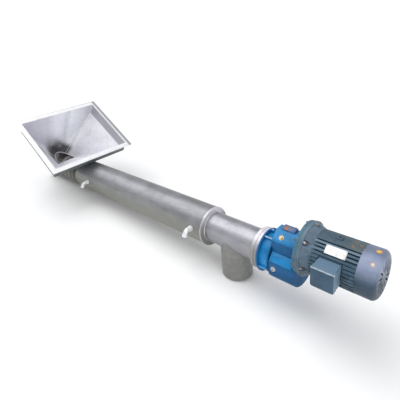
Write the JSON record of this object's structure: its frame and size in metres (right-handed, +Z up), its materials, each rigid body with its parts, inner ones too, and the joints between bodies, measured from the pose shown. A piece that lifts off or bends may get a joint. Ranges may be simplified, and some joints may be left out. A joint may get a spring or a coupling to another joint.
{
  "type": "jacketed tubular screw conveyor",
  "caption": "Screw conveyor: slanted feed hopper, jacketed tube with turning screw, downward discharge spout, helical gear reducer and flange-mounted finned motor.",
  "frame": {"origin": "on the floor, under the centre of the conveyor's overall footprint", "axes": "+X from the feed hopper to the motor, +Y away from the terminal box's side, +Z up; the tube rises 3.6 degrees towards the motor, as it lies on its spout and its feed-end flange"},
  "size_m": [2.7904, 0.69, 0.6171],
  "materials": {
    "tube_steel": "weathered mill steel, satin",
    "bright_steel": "ground bright stainless",
    "hopper_sheet": "bright stainless sheet",
    "screw_steel": "dark worn steel",
    "bearing_iron": "dark cast iron",
    "gearbox_blue": "semi-gloss blue enamel over castings",
    "gearbox_cover_blue": "semi-gloss blue enamel",
    "breather_brass": "satin yellow metal",
    "plug_steel": "plain steel hexagon",
    "adapter_grey": "dark grey-green paint",
    "motor_slate": "semi-gloss slate-blue paint over castings",
    "cowl_slate": "smooth light slate paint on pressed sheet",
    "nameplate_white": "bare pale plate"
  },
  "bodies": {
    "conveyor": {"bearing_housing": "bearing_iron", "bearing_plate": "bright_steel", "breather_plug": "breather_brass", "cooling_fan": "screw_steel", "discharge_spout": "tube_steel", "drive_adapter_ring": "bright_steel", "fan_cowl": "cowl_slate", "fan_hub": "screw_steel", "feed_end_flange": "bright_steel", "feed_shell": "tube_steel", "gearbox_housing": "gearbox_blue", "gearbox_input_flange": "adapter_grey", "gearbox_neck": "gearbox_blue", "gearbox_output_flange": "gearbox_blue", "gearbox_side_cover": "gearbox_cover_blue", "gearbox_top_cover": "gearbox_cover_blue", "hopper_back_wall": "hopper_sheet", "hopper_collar": "hopper_sheet", "hopper_far_wall": "hopper_sheet", "hopper_front_wall": "hopper_sheet", "hopper_near_wall": "hopper_sheet", "hopper_rim": "bright_steel", "jacket_end_ring": "bright_steel", "jacket_seam_ring": "tube_steel", "jacket_tube": "tube_steel", "lifting_lug": "motor_slate", "motor_flange_shield": "motor_slate", "motor_frame": "motor_slate", "motor_nameplate": "nameplate_white", "motor_rear_shield": "motor_slate", "oil_level_plug": "plug_steel", "screw_tube": "tube_steel", "terminal_box_base": "motor_slate", "terminal_box_lid": "motor_slate", "tube_end_flange": "bright_steel", "water_nozzle_drive": "bright_steel", "water_nozzle_feed": "bright_steel"},
    "screw": {"screw_shaft": "screw_steel", "screw_flight": "screw_steel"}
  },
  "joints": [
    {"name": "screw_turn", "type": "hinge", "parent": "conveyor", "child": "screw", "pos_m": [-0.1758, 0, 0.18561], "axis": [0.998, 0, 0.0636], "continuous": true}
  ]
}
